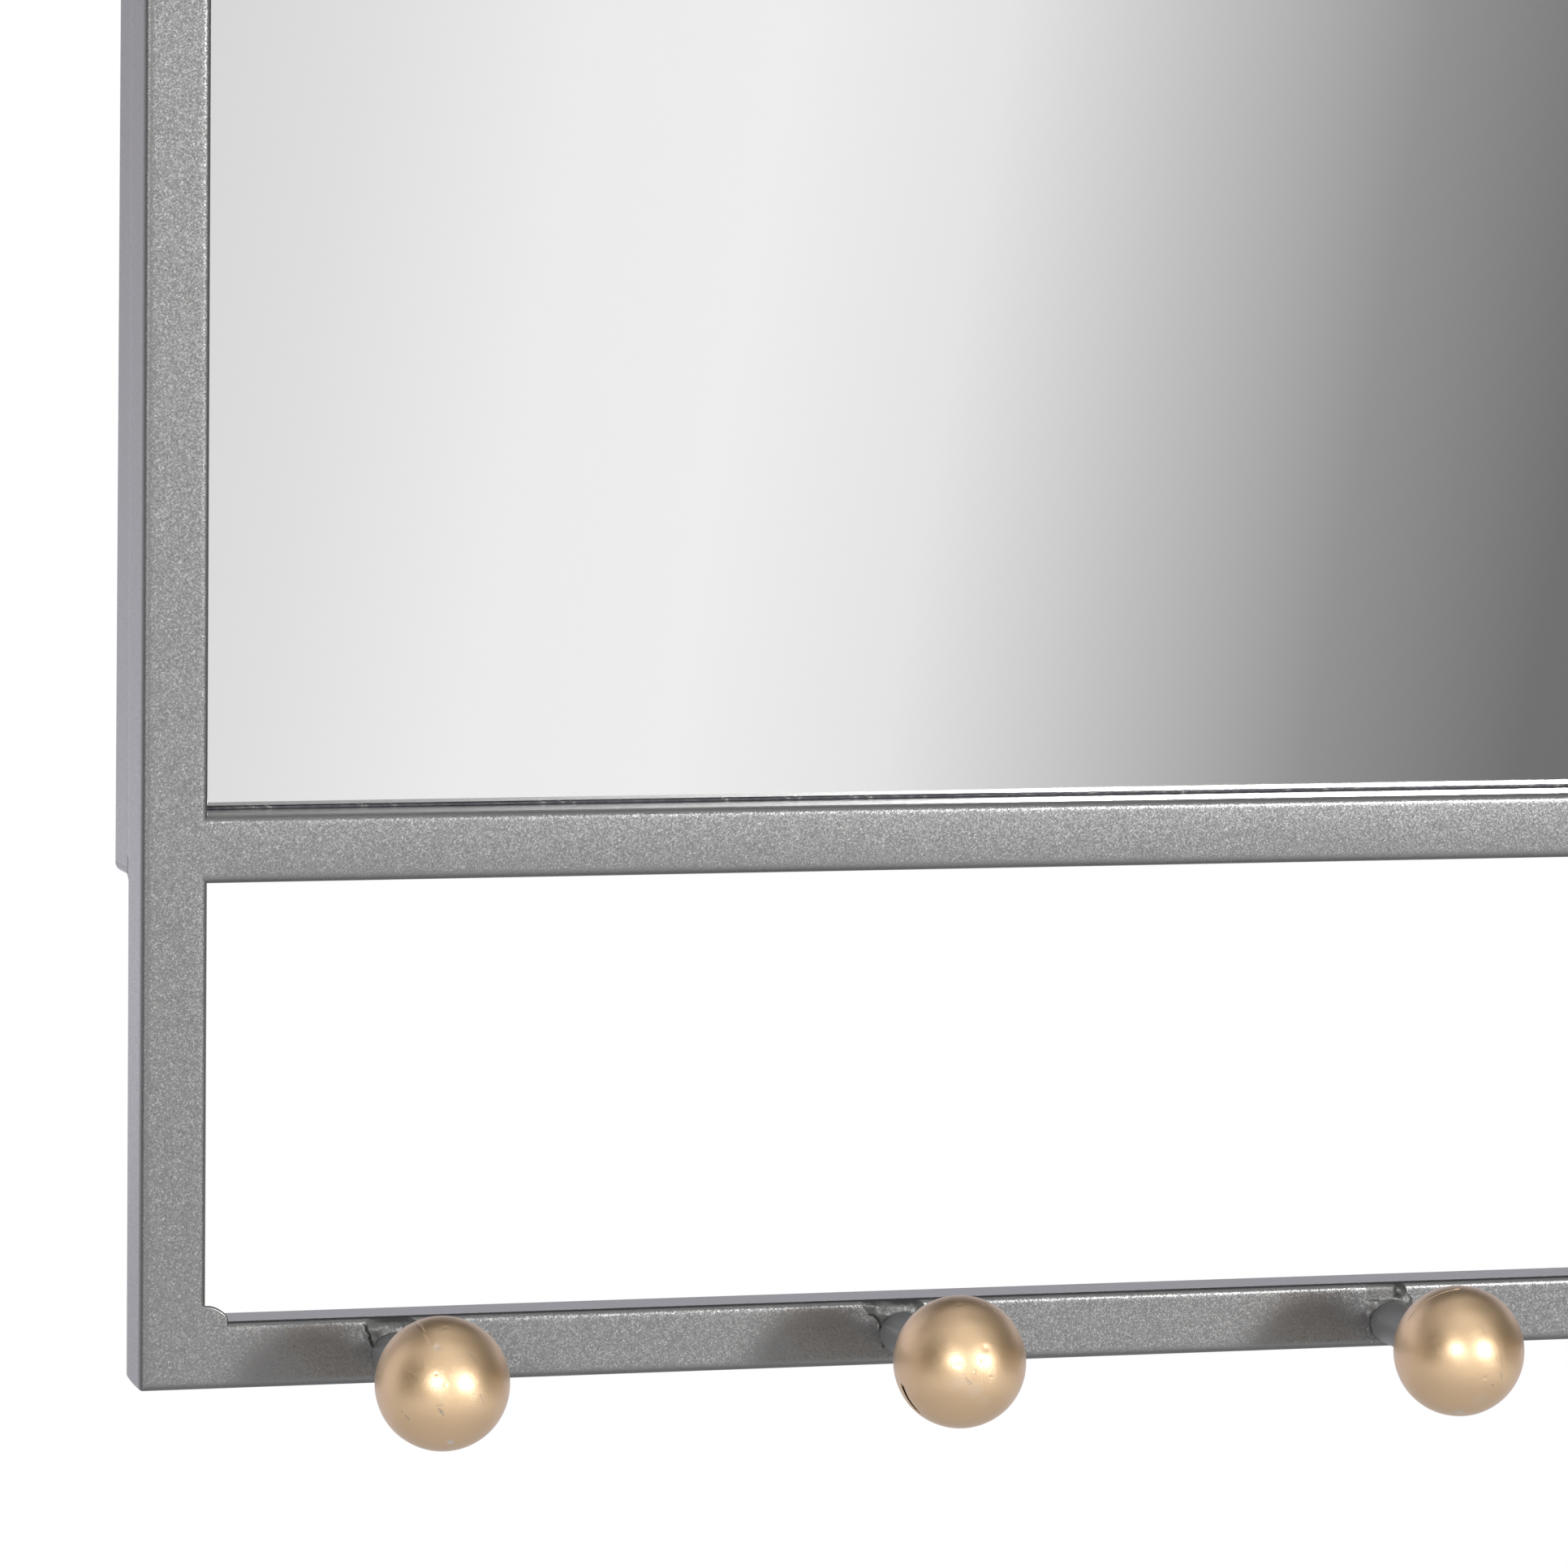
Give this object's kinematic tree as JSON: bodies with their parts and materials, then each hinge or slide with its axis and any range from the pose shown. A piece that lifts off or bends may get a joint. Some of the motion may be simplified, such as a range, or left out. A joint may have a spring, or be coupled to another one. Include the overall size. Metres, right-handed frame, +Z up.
{
  "type": "wall mirror with hooks",
  "caption": "Wall mirror in a welded square-tube frame, with an open gap under the glass and ball-ended coat pegs along the bottom rail; hangs on two rings at the back.",
  "frame": {"origin": "on the wall, midway between the hinges of the two hanger rings", "axes": "+Z up, +Y into the wall, +X to the right for someone who faces the mirror"},
  "size_m": [0.596, 0.1177, 0.8215],
  "materials": {
    "pewter_paint": "pewter metallic-flake paint with a fine sparkle, satin",
    "gold_paint": "satin champagne gold paint, finely pitted",
    "silvered_glass": "clear glass silvered at the back, polished",
    "foam_tape": "matte black foam",
    "hardboard": "plain pressed board, matte",
    "zinc_plate": "bright zinc plate",
    "rubber": "matte black rubber"
  },
  "bodies": {
    "frame": {"left_stile": "pewter_paint", "right_stile": "pewter_paint", "top_rail": "pewter_paint", "cross_rail": "pewter_paint", "bottom_rail": "pewter_paint", "rear_left_post": "pewter_paint", "rear_right_post": "pewter_paint", "rear_top_rail": "pewter_paint", "rear_bottom_rail": "pewter_paint", "corner_welds": "pewter_paint", "seam_welds": "pewter_paint", "mirror_glass": "silvered_glass", "mirror_tape": "foam_tape", "back_board": "hardboard", "board_tabs": "pewter_paint", "board_screws": "zinc_plate", "peg_1": "pewter_paint", "peg_2": "pewter_paint", "peg_3": "pewter_paint", "peg_4": "pewter_paint", "peg_welds": "pewter_paint", "ball_welds": "gold_paint", "ball_1_front": "gold_paint", "ball_1_back": "gold_paint", "ball_2_front": "gold_paint", "ball_2_back": "gold_paint", "ball_3_front": "gold_paint", "ball_3_back": "gold_paint", "ball_4_front": "gold_paint", "ball_4_back": "gold_paint", "hanger_left": "zinc_plate", "hanger_right": "zinc_plate", "hanger_screws": "zinc_plate", "wall_bumpers": "rubber"},
    "ring_left": {"ring_left": "zinc_plate"},
    "ring_right": {"ring_right": "zinc_plate"}
  },
  "joints": [
    {"name": "ring_left_swing", "type": "hinge", "parent": "frame", "child": "ring_left", "pos_m": [-0.2885, -0.0035, 0], "axis": [-1, 0, 0], "range_deg": [-4, 175]},
    {"name": "ring_right_swing", "type": "hinge", "parent": "frame", "child": "ring_right", "pos_m": [0.2885, -0.0035, 0], "axis": [-1, 0, 0], "range_deg": [-4, 175]}
  ]
}
